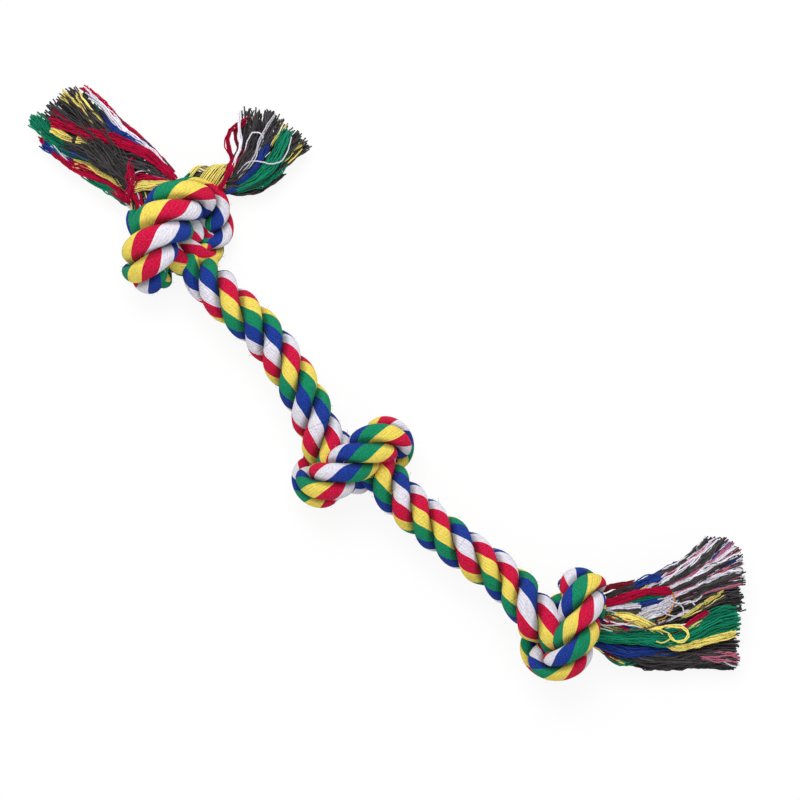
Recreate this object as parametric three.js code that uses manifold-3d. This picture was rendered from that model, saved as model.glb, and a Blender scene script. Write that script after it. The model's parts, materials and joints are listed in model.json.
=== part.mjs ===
// Rope dog toy: three laid strands tied in three tight overhand knots, with the ends opened into yarn tassels
import * as THREE from "three";
import Module from "manifold-3d";
import { mergeVertices } from "three/addons/utils/BufferGeometryUtils.js";

const wasm = await Module();
wasm.setup();

// Rope, in millimetres; angles are in degrees, +X runs along the toy and +Z is up from the floor it lies on
const ropeDiameter = 22;
const layLength = 45;
const layShortening = 0.3;
const layStart = -21;
const strandLean = 36;
const strandGap = 0.3;
const strandStep = 4.9;
const routeStep = 1.5;
const routeSmoothing = 10;
const bendSmoothing = 6;
const arcSamples = 24;
const spanHeight = 24;

// Rope inside the knots: touching passes press together and their bends flatten
const knotRopeDiameter = 18;
const passShare = 0.92;
const bendThinning = 0.24;
const bendWidening = 0.06;
const knotReach = 1.4;
const taperLength = 26;
const flatDepth = 1.8;

// Bends between bodies: each is a ball of the rope's own section in a socket cut in the neighbour
const ballOversize = 0.9;
const ballDepth = 0.7;
const ballFacets = [16, 10];
const socketGap = 0.5;
const shortTailDiameter = 9;
const tailOverlap = 4.5;

// Yarn bundles
const bundleGap = 0.5;
const bundleSides = 6;
const flare = 0.45;
const bundleStations = [0.12, 0.4, 0.92, 1];
const tipFullness = 0.5;
const tassels = {
  left_long: {
    heading: 172,
    length: 70,
    rootPitch: [4.6, 4.6],
    tipPitch: [9.6, 8],
    tipHeight: 13,
    rows: [
      ["red_1", "dark_1", "dark_2", "white_1"],
      ["green_1", "yellow_1", "red_2", "blue_1"],
      ["blue_2", "green_2", "yellow_2", "white_2"],
    ],
    lengths: [0.84, 0.97, 1.0, 0.93, 0.88],
  },
  left_short: {
    heading: 73,
    length: 44,
    rootPitch: [3.6, 4.4],
    tipPitch: [11.5, 9],
    tipHeight: 13,
    rows: [
      ["yellow_1", "dark_1", "green_1"],
      ["red_1", "white_1", "blue_1"],
    ],
    lengths: [0.92, 1.0, 0.86, 0.95, 0.9],
  },
  right: {
    heading: 43,
    length: 68,
    rootPitch: [3.4, 4.6],
    tipPitch: [11, 8],
    tipHeight: 13,
    rows: [
      ["dark_1", "yellow_1", "green_1", "white_1", "red_1", "white_2"],
      ["green_2", "blue_1", "yellow_2", "dark_2", "blue_2", "dark_3"],
      ["blue_3", "red_2", "green_3", "yellow_3", "white_3", "red_3"],
    ],
    lengths: [1.0, 0.93, 0.98, 0.9, 0.96],
  },
};

// Half of a tight overhand knot, from the middle of its front pass to where the rope leaves it, in pass
// spacings; the other half is this one turned half round the line of sight
const halfKnot = [
  [0, 0, 0],
  [0.2, 0.58, -0.02],
  [0.4, 1.1, -0.22],
  [0.62, 1.4, -0.7],
  [0.79, 1.34, -1.29],
  [0.84, 0.96, -1.75],
  [0.75, 0.4, -1.94],
  [0.52, -0.15, -1.78],
  [0.18, -0.47, -1.38],
  [-0.3, -0.49, -1.03],
  [-0.85, -0.25, -0.88],
];
const knotMiddle = [0, 0, -0.97];
const knots = {
  left: { at: [-139.2, 0.2], heading: 22, roll: -30, tilt: -20 },
  middle: { at: [-0.8, -38.9], heading: 4, roll: 0, tilt: 0 },
  right: { at: [134.1, -41.6], heading: 42, roll: 0, tilt: 18 },
};

// How the rope goes on from each knot, in pass spacings from the knot's middle, and over the floor in between
const leftTail = [
  [-2.58, 0.74, -0.25],
  [-2.04, 0.59, -0.22],
  [-1.56, 0.38, -0.18],
  [-1.23, 0.05, -0.13],
  [-0.98, -0.34, -0.09],
];
const leftOut = [[1, 0.35, 0.51], [1.43, -0.07, 0.66], [1.94, -0.44, 0.52]];
const leftSpan = [[-96, -11], [-77, -13], [-46, -23.5]];
const middleIn = [[-1.31, 0.11, 0.17]];
const middleOut = [[1.18, -0.37, 0.17]];
const rightSpan = [[42.5, -41.5], [67, -41.5], [97.5, -40.5]];
const rightIn = [[-1.01, -0.65, 0.56]];
const rightTail = [[0.88, 0.8, -0.2], [1.36, 1.0, -0.25], [1.88, 1.38, -0.31]];

// The strand of the short tassel leaves the other two in the left knot and goes under its front pass
const shortTail = [
  [0.02, 2.86, -0.54],
  [-0.1, 2.48, -0.62],
  [-0.26, 2.16, -0.74],
  [-0.56, 1.68, -0.86],
  [-0.74, 1.07, -0.86],
  [-0.84, 0.47, -0.71],
  [-0.86, -0.01, -0.42],
];
const shortTailLeaves = [-0.99, -0.31, -0.09];

// Distances of the knees from the knots' middles, in pass spacings
const kneeReach = 2.4;
const leftTasselReach = 1.65;
const rightTasselReach = 1.45;

const weldDistance = 1e-4;
const colours = {
  red: "#c4123a",
  yellow: "#ecd04a",
  green: "#0f7f4c",
  blue: "#20338f",
  white: "#e2e0ea",
  dark: "#37332f",
};
const strandColours = [colours.red, colours.white, colours.blue];
const strandLetters = ["a", "b", "c"];
const cottonRoughness = 0.95;

const passSpacing = knotRopeDiameter * passShare;
const passThickness = knotRopeDiameter * (1 - bendThinning);
const radians = THREE.MathUtils.degToRad;
const vector = (p) => new THREE.Vector3(...p);

// Route of the rope's centre line

function twin([x, y, z]) {
  return [-x, -y, z];
}

const knotLine = [...halfKnot.slice().reverse(), ...halfKnot.slice(1).map(twin)];

function knotFrame({ at, heading, roll, tilt }) {
  const turn = new THREE.Euler(radians(roll), radians(tilt), radians(heading), "ZXY");
  const frame = new THREE.Matrix4().makeRotationFromEuler(turn);
  frame.scale(new THREE.Vector3(passSpacing, passSpacing, passSpacing));
  frame.multiply(new THREE.Matrix4().makeTranslation(vector(knotMiddle).negate()));
  const lowest = Math.min(...knotLine.map((p) => vector(p).applyMatrix4(frame).z));
  const height = passThickness / 2 - flatDepth - lowest;
  return frame.premultiply(new THREE.Matrix4().makeTranslation(at[0], at[1], height));
}

const frames = Object.fromEntries(Object.entries(knots).map(([name, knot]) => [name, knotFrame(knot)]));
const middles = Object.fromEntries(
  Object.entries(frames).map(([name, frame]) => [name, vector(knotMiddle).applyMatrix4(frame)]),
);
const tied = (name) => knotLine.map((p) => vector(p).applyMatrix4(frames[name]));
const beside = (name, list) => list.map((p) => vector(p).multiplyScalar(passSpacing).add(middles[name]));
const overFloor = (list) => list.map(([x, y]) => new THREE.Vector3(x, y, spanHeight));

function smoothed(points, passes) {
  let line = points;
  for (let pass = 0; pass < passes; pass += 1) {
    const last = line;
    line = last.map((p, i) => {
      if (i === 0 || i === last.length - 1) return p;
      return last[i - 1].clone().add(last[i + 1]).addScaledVector(p, 2).divideScalar(4);
    });
  }
  return line;
}

function evenSteps(points, step) {
  const curve = new THREE.CatmullRomCurve3(points, false, "centripetal");
  curve.arcLengthDivisions = points.length * arcSamples;
  return curve.getSpacedPoints(Math.round(curve.getLength() / step));
}

function directions(points) {
  return points.map((_, i) => {
    const before = points[Math.max(i - 1, 0)];
    const after = points[Math.min(i + 1, points.length - 1)];
    return after.clone().sub(before).normalize();
  });
}

// Carries a side direction along a line without letting it turn about the line
function carried(side, along) {
  const sides = [side.clone().addScaledVector(along[0], -side.dot(along[0])).normalize()];
  for (let i = 1; i < along.length; i += 1) {
    const turn = new THREE.Quaternion().setFromUnitVectors(along[i - 1], along[i]);
    sides.push(sides[i - 1].clone().applyQuaternion(turn));
  }
  return sides;
}

const route = smoothed(evenSteps([
  ...beside("left", leftTail),
  ...tied("left"),
  ...beside("left", leftOut),
  ...overFloor(leftSpan),
  ...beside("middle", middleIn),
  ...tied("middle"),
  ...beside("middle", middleOut),
  ...overFloor(rightSpan),
  ...beside("right", rightIn),
  ...tied("right"),
  ...beside("right", rightTail),
], routeStep), routeSmoothing);
const along = directions(route);
const across = carried(new THREE.Vector3(0, 0, 1), along);
const bends = smoothed(route.map((p, i) => {
  if (i === 0 || i === route.length - 1) return new THREE.Vector3();
  return route[i - 1].clone().add(route[i + 1]).addScaledVector(p, -2).divideScalar(routeStep ** 2);
}), bendSmoothing);

function planDistance(point, middle) {
  return Math.hypot(point.x - middle.x, point.y - middle.y);
}

const knotRadius = knotReach * passSpacing;
const diameters = route.map((p) => {
  const nearest = Math.min(...Object.values(middles).map((middle) => planDistance(p, middle)));
  const fullness = THREE.MathUtils.smoothstep(nearest, knotRadius, knotRadius + taperLength);
  return THREE.MathUtils.lerp(knotRopeDiameter, ropeDiameter, fullness);
});

function nearestStation(point) {
  let best = 0;
  route.forEach((p, i) => {
    if (p.distanceToSquared(point) < route[best].distanceToSquared(point)) best = i;
  });
  return best;
}

// The lay shortens a little where the rope is drawn thin, and ends where the first strand leaves the others
const shortTailStation = nearestStation(beside("left", [shortTailLeaves])[0]);
const phases = [radians(layStart)];
for (let i = 1; i < route.length; i += 1) {
  const lay = layLength * (diameters[i] / ropeDiameter) ** layShortening;
  phases.push(phases[i - 1] + (i > shortTailStation ? 2 * Math.PI * routeStep / lay : 0));
}

// The station where the rope, followed out of a knot, gets a given distance away over the floor
function stationAway(name, reach, step) {
  let i = nearestStation(tied(name).at(step > 0 ? -1 : 0));
  while (planDistance(route[i], middles[name]) < reach * passSpacing) {
    i += step;
  }
  return i;
}

// Strands

const strandSlope = 1 / Math.cos(radians(strandLean));
const sectorHalf = Math.PI / strandLetters.length;

function strandSection(i) {
  const support = Math.hypot(Math.sin(sectorHalf), strandSlope * Math.cos(sectorHalf));
  const thick = diameters[i] / 2 / (1 + support / Math.sin(sectorHalf));
  return {
    centre: diameters[i] / 2 - thick,
    radial: thick - strandGap / 2,
    sideways: thick * strandSlope - strandGap / 2,
  };
}

// Corner angles of a strand's section, with corners where it meets its two neighbours
const contactAngle = Math.PI - Math.atan(strandSlope / Math.tan(sectorHalf));
const halfCorners = [contactAngle / 3, contactAngle * 2 / 3, contactAngle];
const strandCorners = [0, ...halfCorners, Math.PI, ...halfCorners.slice().reverse().map((a) => -a)];

function strandAxes(i, strand) {
  const phase = phases[i] + strand * 2 * sectorHalf;
  const u = across[i];
  const v = along[i].clone().cross(u);
  const outward = u.clone().multiplyScalar(Math.cos(phase)).addScaledVector(v, Math.sin(phase));
  return { outward, round: along[i].clone().cross(outward) };
}

function flattened(offset, i) {
  const bend = Math.min(bends[i].length() * passSpacing, 1) ** 2;
  const inward = bends[i].clone().normalize();
  const depth = offset.dot(inward);
  offset.multiplyScalar(1 + bendWidening * bend);
  return offset.addScaledVector(inward, -depth * (bendThinning + bendWidening) * bend);
}

function strandRing(i, strand) {
  const { centre, radial, sideways } = strandSection(i);
  const { outward, round } = strandAxes(i, strand);
  return strandCorners.map((angle) => {
    const offset = outward.clone().multiplyScalar(centre + radial * Math.cos(angle));
    offset.addScaledVector(round, sideways * Math.sin(angle));
    return flattened(offset, i).add(route[i]);
  });
}

function strandCentre(i, strand) {
  const offset = strandAxes(i, strand).outward.multiplyScalar(strandSection(i).centre);
  return flattened(offset, i).add(route[i]);
}

// Stations about a strand step apart; the strands of a body share them, so that their facets stay clear
function stationsBetween(first, last) {
  const count = Math.ceil((last - first) * routeStep / strandStep);
  const stations = [];
  for (let k = 0; k <= count; k += 1) {
    stations.push(Math.round(THREE.MathUtils.lerp(first, last, k / count)));
  }
  return stations;
}

// Closed skin over a row of rings with equal numbers of corners
function skin(rings) {
  const sides = rings[0].length;
  const faces = [];
  for (let i = 0; i + 1 < rings.length; i += 1) {
    for (let k = 0; k < sides; k += 1) {
      const a = i * sides + k;
      const b = i * sides + (k + 1) % sides;
      faces.push(a, b, b + sides, a, b + sides, a + sides);
    }
  }
  const top = (rings.length - 1) * sides;
  for (let k = 1; k + 1 < sides; k += 1) {
    faces.push(0, k + 1, k, top, top + k, top + k + 1);
  }
  const geometry = new THREE.BufferGeometry();
  const corners = rings.flat().flatMap((p) => p.toArray());
  geometry.setAttribute("position", new THREE.Float32BufferAttribute(corners, 3));
  geometry.setIndex(faces);
  return geometry;
}

// Solids for joining and cutting

function solid(geometry) {
  const bare = geometry.clone();
  bare.deleteAttribute("normal");
  bare.deleteAttribute("uv");
  const merged = mergeVertices(bare, weldDistance);
  return new wasm.Manifold(new wasm.Mesh({
    numProp: 3,
    vertProperties: new Float32Array(merged.attributes.position.array),
    triVerts: new Uint32Array(merged.index.array),
  }));
}

function geometryOf(body) {
  const mesh = body.getMesh();
  const geometry = new THREE.BufferGeometry();
  geometry.setAttribute("position", new THREE.BufferAttribute(new Float32Array(mesh.vertProperties), 3));
  geometry.setIndex(new THREE.BufferAttribute(new Uint32Array(mesh.triVerts), 1));
  return geometry;
}

function ball(knee, radius) {
  const geometry = new THREE.SphereGeometry(radius, ...ballFacets);
  return solid(geometry.translate(...knee.point.toArray()));
}

// What a ball end has to lose: everything behind the knee that is outside the ball
function behind(knee) {
  const length = 2 * knee.radius;
  const block = new THREE.CylinderGeometry(length, length, length);
  const turn = new THREE.Quaternion().setFromUnitVectors(new THREE.Vector3(0, 1, 0), knee.outward);
  block.applyQuaternion(turn);
  block.translate(...knee.point.clone().addScaledVector(knee.outward, -length / 2).toArray());
  return solid(block).subtract(ball(knee, knee.radius));
}

// The toy lies on the floor with flat contact faces
function restedOnFloor(body) {
  return body.trimByPlane([0, 0, 1], 0);
}

// Knees: the places where the toy bends, with the direction from the carrying body to the carried one
function knee(station, step) {
  return {
    station,
    point: route[station].clone(),
    outward: along[station].clone().multiplyScalar(step),
    radius: diameters[station] / 2 + ballOversize,
  };
}

const knees = {
  leftLongTassel: knee(stationAway("left", leftTasselReach, -1), -1),
  leftLift: knee(stationAway("left", kneeReach, 1), -1),
  leftSway: knee(stationAway("middle", kneeReach, -1), -1),
  rightSway: knee(stationAway("middle", kneeReach, 1), 1),
  rightLift: knee(stationAway("right", kneeReach, -1), 1),
  rightTassel: knee(stationAway("right", rightTasselReach, 1), 1),
};

const toy = new THREE.Group();

function addPiece(name, body, colour) {
  const look = { color: colour, roughness: cottonRoughness, metalness: 0 };
  const material = new THREE.MeshStandardMaterial(look);
  const mesh = new THREE.Mesh(geometryOf(body), material);
  mesh.name = name;
  toy.add(mesh);
}

// The strand that turns off to the short tassel lies nearest to where that tail starts
const shortTailPoints = beside("left", shortTail);
const tailStart = shortTailPoints[shortTailPoints.length - 1];
const shortStrand = strandLetters.map((_, strand) => strand).reduce((best, strand) => {
  const gap = (s) => strandCentre(shortTailStation, s).distanceTo(tailStart);
  return gap(strand) < gap(best) ? strand : best;
}, 0);

const tailLead = Math.round(tailOverlap / routeStep);
const tailLine = evenSteps([
  ...shortTailPoints,
  strandCentre(shortTailStation, shortStrand),
  strandCentre(shortTailStation + tailLead, shortStrand),
], routeStep);
const tailLast = tailLine.length - 1 - tailLead;
const tailAlong = directions(tailLine);
const tailAcross = carried(
  strandAxes(shortTailStation, shortStrand).outward,
  tailAlong.slice().reverse(),
).reverse();

function tailRing(i) {
  const round = tailAlong[i].clone().cross(tailAcross[i]);
  return strandCorners.map((angle) => {
    const offset = tailAcross[i].clone().multiplyScalar(Math.cos(angle));
    offset.addScaledVector(round, Math.sin(angle));
    return offset.multiplyScalar(shortTailDiameter / 2).add(tailLine[i]);
  });
}

const tailKneeStation = Math.round(shortTailDiameter / routeStep);
knees.leftShortTassel = {
  station: tailKneeStation,
  point: tailLine[tailKneeStation].clone(),
  outward: tailAlong[tailKneeStation].clone().negate(),
  radius: shortTailDiameter / 2 + ballOversize,
};

// A strand of one body: a socket at a knee that it carries, a ball at the knee that carries it
function addStrand(body, strand, { first, last, sockets, carrier, tail }) {
  const extra = carrier ? Math.round(carrier.radius * ballDepth / routeStep) : 0;
  const start = carrier === first ? first.station - extra : first.station;
  const end = carrier === last ? last.station + extra : last.station;
  const stations = stationsBetween(start, end);
  const tailStations = tail ? stationsBetween(tailKneeStation, tailLast).slice(0, -1) : [];
  const laid = tail ? stations.filter((i) => i >= shortTailStation) : stations;
  const rings = [...tailStations.map(tailRing), ...laid.map((i) => strandRing(i, strand))];
  let piece = solid(skin(rings));
  if (carrier) piece = piece.subtract(behind(carrier));
  for (const socket of sockets) {
    piece = piece.subtract(ball(socket, socket.radius + socketGap));
  }
  addPiece(`${body}_strand_${strandLetters[strand]}`, restedOnFloor(piece), strandColours[strand]);
}

const ropeBodies = {
  left_knot: { first: knees.leftLongTassel, last: knees.leftLift, carrier: knees.leftLift },
  left_span: { first: knees.leftLift, last: knees.leftSway, carrier: knees.leftSway },
  middle_knot: { first: knees.leftSway, last: knees.rightSway },
  right_span: { first: knees.rightSway, last: knees.rightLift, carrier: knees.rightSway },
  right_knot: { first: knees.rightLift, last: knees.rightTassel, carrier: knees.rightLift },
};
for (const [body, range] of Object.entries(ropeBodies)) {
  for (let strand = 0; strand < strandLetters.length; strand += 1) {
    const tail = body === "left_knot" && strand === shortStrand;
    const ends = tail ? [knees.leftShortTassel, knees.leftLongTassel, range.last] : [range.first, range.last];
    const sockets = ends.filter((end) => end !== range.carrier);
    addStrand(body, strand, { ...range, sockets, tail });
  }
}

// Tassels: rows of yarn bundles that fan out from the strand ends and settle on the floor
function bundleRings(knee, tassel, row, column) {
  const columns = tassel.rows[0].length;
  const sideStep = column - (columns - 1) / 2;
  const upStep = (tassel.rows.length - 1) / 2 - row;
  const heading = knee.outward;
  const side = new THREE.Vector3(-heading.y, heading.x, 0);
  const order = row * columns + column;
  const length = tassel.length * tassel.lengths[order % tassel.lengths.length];
  const stations = [-knee.radius * ballDepth, 0, ...bundleStations.map((part) => part * length)];
  return stations.map((reach) => {
    const fullness = reach === length ? tipFullness : 1;
    const spread = THREE.MathUtils.clamp(reach / tassel.length, 0, 1) ** flare;
    const pitch = [0, 1].map((n) => THREE.MathUtils.lerp(tassel.rootPitch[n], tassel.tipPitch[n], spread));
    const centre = knee.point.clone().addScaledVector(heading, reach);
    centre.addScaledVector(side, sideStep * pitch[0]);
    centre.z = THREE.MathUtils.lerp(knee.point.z, tassel.tipHeight, spread) + upStep * pitch[1];
    const ring = [];
    for (let n = 0; n < bundleSides; n += 1) {
      const angle = 2 * Math.PI * n / bundleSides;
      const wide = (pitch[0] - bundleGap) / 2 * fullness * Math.cos(angle);
      const high = (pitch[1] - bundleGap) / 2 * fullness * Math.sin(angle);
      ring.push(centre.clone().addScaledVector(side, wide).add(new THREE.Vector3(0, 0, high)));
    }
    return ring;
  });
}

const tasselKnees = { left_long: "leftLongTassel", left_short: "leftShortTassel", right: "rightTassel" };
for (const [name, tassel] of Object.entries(tassels)) {
  const turn = radians(tassel.heading);
  const outward = new THREE.Vector3(Math.cos(turn), Math.sin(turn), 0);
  const carrier = { ...knees[tasselKnees[name]], outward };
  tassel.rows.forEach((row, r) => row.forEach((bundle, c) => {
    const piece = solid(skin(bundleRings(carrier, tassel, r, c))).subtract(behind(carrier));
    addPiece(`${name}_tassel_${bundle}`, restedOnFloor(piece), colours[bundle.split("_")[0]]);
  }));
}

// The toy stands over the middle of its own box
const box = new THREE.Box3().setFromObject(toy);
toy.position.set(-(box.min.x + box.max.x) / 2, -(box.min.y + box.max.y) / 2, 0);
for (const [name, { point, outward }] of Object.entries(knees)) {
  const place = point.clone().add(toy.position);
  console.log(name, place.toArray().map((n) => n.toFixed(2)), outward.toArray().map((n) => n.toFixed(3)));
}
console.log(`rope ${((route.length - 1) * routeStep).toFixed(0)} mm, ${toy.children.length} pieces`);

export default toy;
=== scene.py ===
import json
import math
import bpy
import numpy as np
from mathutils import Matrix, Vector


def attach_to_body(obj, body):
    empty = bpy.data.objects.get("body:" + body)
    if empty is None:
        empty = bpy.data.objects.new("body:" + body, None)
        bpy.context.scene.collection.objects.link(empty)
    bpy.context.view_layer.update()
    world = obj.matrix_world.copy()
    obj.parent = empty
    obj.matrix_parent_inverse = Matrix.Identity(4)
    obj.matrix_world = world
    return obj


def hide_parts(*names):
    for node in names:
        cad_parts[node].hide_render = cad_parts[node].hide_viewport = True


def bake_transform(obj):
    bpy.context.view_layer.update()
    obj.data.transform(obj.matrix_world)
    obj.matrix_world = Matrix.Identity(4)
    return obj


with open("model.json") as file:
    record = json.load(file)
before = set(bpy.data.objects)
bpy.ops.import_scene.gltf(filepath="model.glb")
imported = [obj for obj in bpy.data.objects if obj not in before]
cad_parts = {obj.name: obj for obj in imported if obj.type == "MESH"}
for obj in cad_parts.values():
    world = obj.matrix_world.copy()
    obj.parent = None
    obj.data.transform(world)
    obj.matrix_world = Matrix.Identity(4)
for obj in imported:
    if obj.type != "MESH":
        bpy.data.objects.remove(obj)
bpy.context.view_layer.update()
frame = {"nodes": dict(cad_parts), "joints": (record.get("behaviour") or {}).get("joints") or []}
print("frame loaded with", len(frame["nodes"]), "nodes")

mm = 0.001
joints = {joint["name"]: joint for joint in frame["joints"]}


def linear(red, green, blue):
    shares = [value / 255 for value in (red, green, blue)]
    return [s / 12.92 if s <= 0.04045 else ((s + 0.055) / 1.055) ** 2.4 for s in shares]


# Yarn colours as laid in the rope, in the order of its bands
cotton = {
    "red": linear(208, 4, 62),
    "yellow": linear(245, 221, 96),
    "green": linear(4, 136, 94),
    "blue": linear(18, 55, 148),
    "white": linear(232, 229, 240),
}
bandOrder = list(cotton)
# Loose yarn is a little duller, and its red is darker as painted shade for the shade among the tassel yarns;
# its other colours show only in the tassels
looseCotton = {
    "red": linear(178, 8, 58),
    "yellow": linear(243, 225, 122),
    "green": linear(20, 134, 100),
    "blue": linear(34, 62, 140),
    "white": cotton["white"],
    "dark": linear(71, 68, 69),
    "pink": linear(204, 114, 140),
    "maroon": linear(120, 24, 42),
    "orange": linear(226, 150, 60),
}
cottonSlot = {"pink": "red_cotton", "maroon": "red_cotton", "orange": "yellow_cotton"}


# Node maths: a socket that takes part in Python sums
class Sock:
    def __init__(self, tree, socket):
        self.tree = tree
        self.socket = socket

    def node(self, kind, inputs=None, out=0, stops=(), **settings):
        made = self.tree.nodes.new(kind)
        for key, setting in settings.items():
            setattr(made, key, setting)
        if stops:
            made.color_ramp.interpolation = "CONSTANT"
            elements = made.color_ramp.elements
            while len(elements) < len(stops):
                elements.new(1.0)
            for index, (place, colour) in enumerate(stops):
                elements[index].position = place
                elements[index].color = (*colour, 1.0)
        for key, value in (inputs or {}).items():
            if isinstance(value, Sock):
                self.tree.links.new(value.socket, made.inputs[key])
            else:
                made.inputs[key].default_value = value
        return Sock(self.tree, made.outputs[out])

    def maths(self, operation, *values):
        return self.node("ShaderNodeMath", dict(enumerate(values)), operation=operation)

    def __add__(self, other):
        return self.maths("ADD", self, other)

    def __radd__(self, other):
        return self.maths("ADD", other, self)

    def __sub__(self, other):
        return self.maths("SUBTRACT", self, other)

    def __rsub__(self, other):
        return self.maths("SUBTRACT", other, self)

    def __mul__(self, other):
        return self.maths("MULTIPLY", self, other)

    def __rmul__(self, other):
        return self.maths("MULTIPLY", other, self)

    def __truediv__(self, other):
        return self.maths("DIVIDE", self, other)

    def __rtruediv__(self, other):
        return self.maths("DIVIDE", other, self)

    def vector(self, *values):
        return self.node("ShaderNodeCombineXYZ", dict(enumerate(values)))

    def part(self, index):
        return self.node("ShaderNodeSeparateXYZ", {0: self}, out=index)

    def mixed(self, other, share, blend="MIX"):
        settings = {"data_type": "RGBA", "blend_type": blend}
        return self.node("ShaderNodeMix", {0: share, 6: self, 7: other}, out=2, **settings)

    def noise(self, scale, detail=2.0):
        return self.node("ShaderNodeTexNoise", {"Vector": self, "Scale": scale, "Detail": detail})


def newMaterial(name):
    material = bpy.data.materials.new(name)
    material.use_nodes = True
    tree = material.node_tree
    for node in list(tree.nodes):
        tree.nodes.remove(node)
    output = tree.nodes.new("ShaderNodeOutputMaterial")
    return material, Sock(tree, output.inputs["Surface"])


clothFinish = {"roughness": 0.95, "specular": 0.05, "sheen": 0.03, "sheenRoughness": 0.6}


def clothShader(surface, colour, height, user):
    relief = {"Height": height, "Strength": user["bump"], "Distance": user["depth"]}
    inputs = {
        "Base Color": colour,
        "Roughness": clothFinish["roughness"],
        "Normal": surface.node("ShaderNodeBump", relief),
        "Specular IOR Level": clothFinish["specular"],
        "Sheen Weight": clothFinish["sheen"],
        "Sheen Roughness": clothFinish["sheenRoughness"],
    }
    shader = surface.node("ShaderNodeBsdfPrincipled", inputs)
    surface.tree.links.new(shader.socket, surface.socket)


# The rope's cotton: five coloured bands of fine yarn that wind round each strand
# A noise has its scales round and along the strand, its layer and its detail
ropeLook = {
    "drift": (9.0, 1.6, 0.0, 2.0), "streak": (60.0, 5.0, 0.0, 3.0),
    "fleck": (42.0, 30.0, 3.0, 3.0), "speck": (85.0, 60.0, 9.0, 2.0),
    # The lint value sets pale flecks that are partly lint and partly painted highlight on the fibres
    "wander": 0.016, "streakShade": 0.45, "fleckShade": 0.8, "lintAndHighlight": 0.28,
    # The groove values paint shade into the grooves between strands, on the sides that face the rope's core
    "grooveFrom": 0.34, "grooveWidth": 0.26, "paintedGrooveShade": 0.45, "ridges": 26, "ridgeWander": 0.03,
    "ridgeHeight": 0.22, "streakHeight": 0.9, "fleckHeight": 0.5, "bump": 0.8, "depth": 0.0006,
}


def ropeMaterial(name, user):
    material, surface = newMaterial(name)
    lay = surface.node("ShaderNodeAttribute", out=1, attribute_name="lay")
    around = lay.part(0)
    length = lay.part(1)

    def grain(aroundScale, lengthScale, layer, detail):
        return surface.vector(around * aroundScale, length * lengthScale, layer).noise(1.0, detail)

    drift = grain(*user["drift"])
    streak = grain(*user["streak"])
    fleck = grain(*user["fleck"])
    speck = grain(*user["speck"])
    placed = around + (drift - 0.5) * user["wander"]
    stops = [(index / len(bandOrder), cotton[colour]) for index, colour in enumerate(bandOrder)]
    bands = surface.node("ShaderNodeValToRGB", {0: surface.maths("FRACT", placed)}, stops=stops)
    tone = 1.0 + (streak - 0.5) * user["streakShade"] + (fleck - 0.5) * user["fleckShade"]
    # Painted shade: a strand's colour is darkened where its side turns into the groove towards the rope's
    # core
    groove = surface.maths("MINIMUM", (lay.part(2) - user["grooveFrom"]) / user["grooveWidth"], 1.0)
    paintedShadow = 1.0 - surface.maths("MAXIMUM", groove, 0.0) * user["paintedGrooveShade"]
    shaded = bands.mixed(tone * paintedShadow, 1.0, "MULTIPLY")
    # Pale flecks, partly lint and partly painted fibre highlight, are added to the colour and dimmed by the
    # painted groove shade
    lintAndHighlight = surface.maths("MAXIMUM", speck - 0.5, 0.0) * user["lintAndHighlight"]
    paintedLightAndLint = shaded.mixed(lintAndHighlight * paintedShadow, 1.0, "ADD")
    wound = around + (drift - 0.5) * user["ridgeWander"]
    ridge = surface.maths("SINE", wound * (2 * math.pi * user["ridges"]))
    height = ridge * user["ridgeHeight"] + streak * user["streakHeight"] + fleck * user["fleckHeight"]
    clothShader(surface, paintedLightAndLint, height, user)
    return material


# Loose yarn: plied cotton, each yarn a little lighter or darker than its neighbour
yarnLook = {
    "shade": 0.6, "darkShade": 1.2, "fleckScale": 2600.0, "fleckShade": 0.5, "plyTurns": 650.0,
    "plyStart": 9.0, "paintedPlyShade": 0.07, "plyHeight": 0.5, "bump": 0.45, "depth": 0.0002,
}


def yarnMaterial(name, colour, user):
    material, surface = newMaterial(name)
    tone = surface.node("ShaderNodeAttribute", out=2, attribute_name="tone")
    along = surface.node("ShaderNodeAttribute", out=2, attribute_name="along")
    place = surface.node("ShaderNodeTexCoord", out=3)
    fleck = place.noise(user["fleckScale"])
    ply = surface.maths("SINE", along * (2 * math.pi * user["plyTurns"]) + tone * user["plyStart"])
    spread = user["darkShade" if name == "darkYarn" else "shade"]
    # The ply wave is painted light and shade in stripes along the plies' twist; tone and fleck vary the
    # yarn's own colour
    shade = 1.0 + (tone - 0.5) * spread + (fleck - 0.5) * user["fleckShade"] + ply * user["paintedPlyShade"]
    shaded = shade.mixed((*colour, 1.0), 1.0, "MULTIPLY")
    clothShader(surface, shaded, ply * user["plyHeight"] + fleck, user)
    return material


ropeCotton = ropeMaterial("ropeCotton", ropeLook)
yarnCotton = {}
for colour, tone in looseCotton.items():
    yarnCotton[colour] = yarnMaterial(colour + "Yarn", tone, yarnLook)
print("materials made")


# The rope: lengths in millimetres, marks, trims and smoothing in steps
rope = {
    "diameter": 22.0, "knotDiameter": 22.5, "reach": 22.0, "taper": 30.0,
    "rootShare": 0.6, "rootLength": 26.0,
    "thinning": 0.3, "widening": 0.05, "pressPitch": 14.6, "frontReach": 22.0,
    "layLength": 45.0, "layShortening": 0.3, "lean": 36.0, "unevenness": 0.014,
    "swells": ((0.41, 2.1), (0.173, 4.0)), "grainLength": 31.0,
    "pitch": 16.56, "restHeight": 5.04, "spanHeight": 24.0, "floor": 0.3,
    "step": 1.5, "smoothing": 10, "bendSmoothing": 6, "laySmoothing": 200, "around": 48,
    "tailMark": 8, "exitMark": 12, "endTrim": 12, "blendHalf": 14.0, "cutBack": 16.0,
}
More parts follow.
